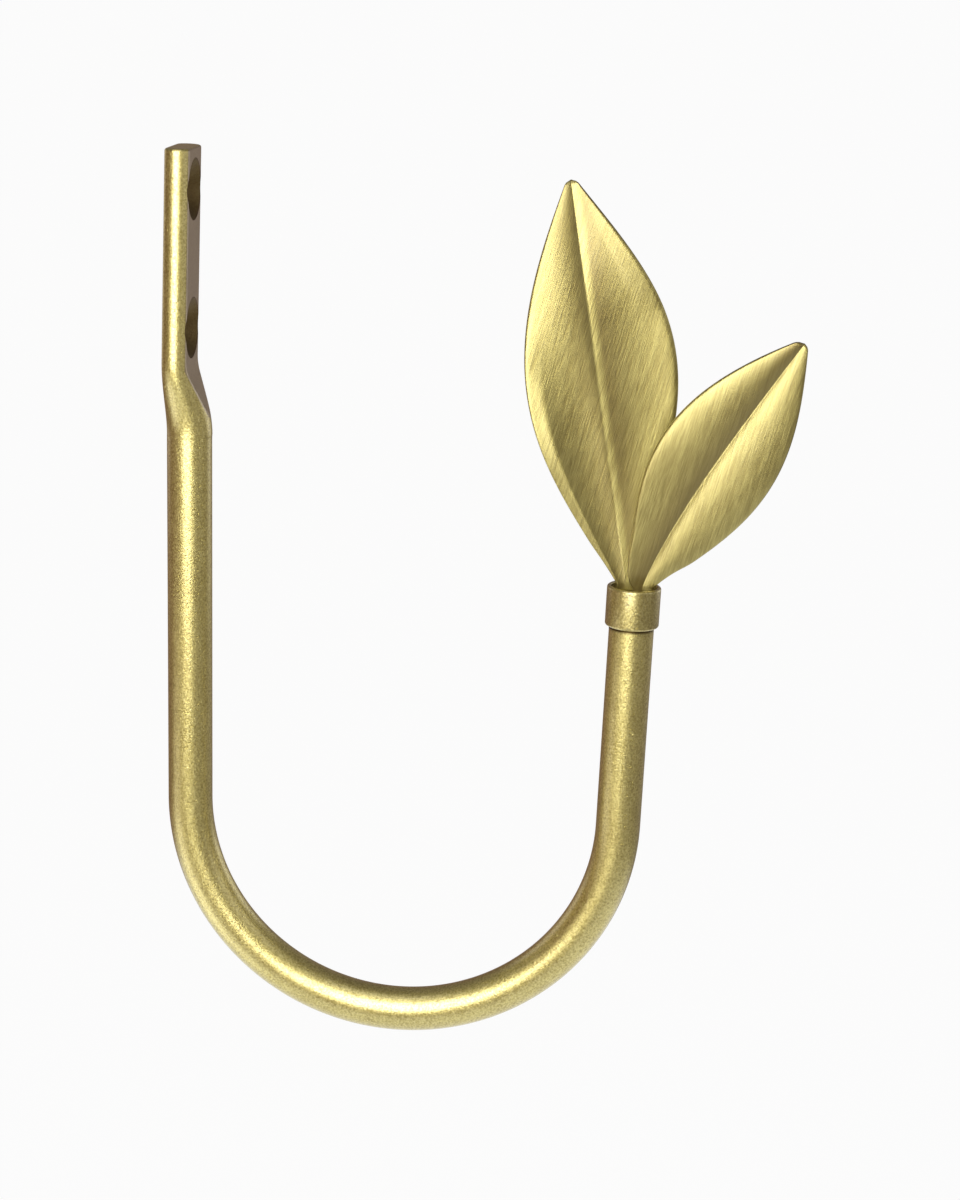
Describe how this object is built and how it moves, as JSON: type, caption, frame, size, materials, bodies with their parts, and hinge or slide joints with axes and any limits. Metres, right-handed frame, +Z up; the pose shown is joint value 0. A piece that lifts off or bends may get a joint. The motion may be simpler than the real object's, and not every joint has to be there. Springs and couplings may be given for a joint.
{
  "type": "curtain holdback",
  "caption": "U-shaped round-rod curtain holdback in satin gold, flattened and drilled at the wall end, with a collar and pressed leaves at the tip of the front arm.",
  "frame": {"origin": "On the wall face of the flattened end, midway between the screw holes.", "axes": "-X points into the wall, +X out into the room, +Z up, Y along the wall."},
  "size_m": [0.1109, 0.0126, 0.1587],
  "materials": {
    "satin_gold": "satin gold lacquer on steel",
    "brushed_gold": "brushed satin gold lacquer on pressed steel"
  },
  "bodies": {
    "root": {"hook_rod": "satin_gold", "collar": "satin_gold", "large_leaf": "brushed_gold", "small_leaf": "brushed_gold"}
  },
  "joints": []
}
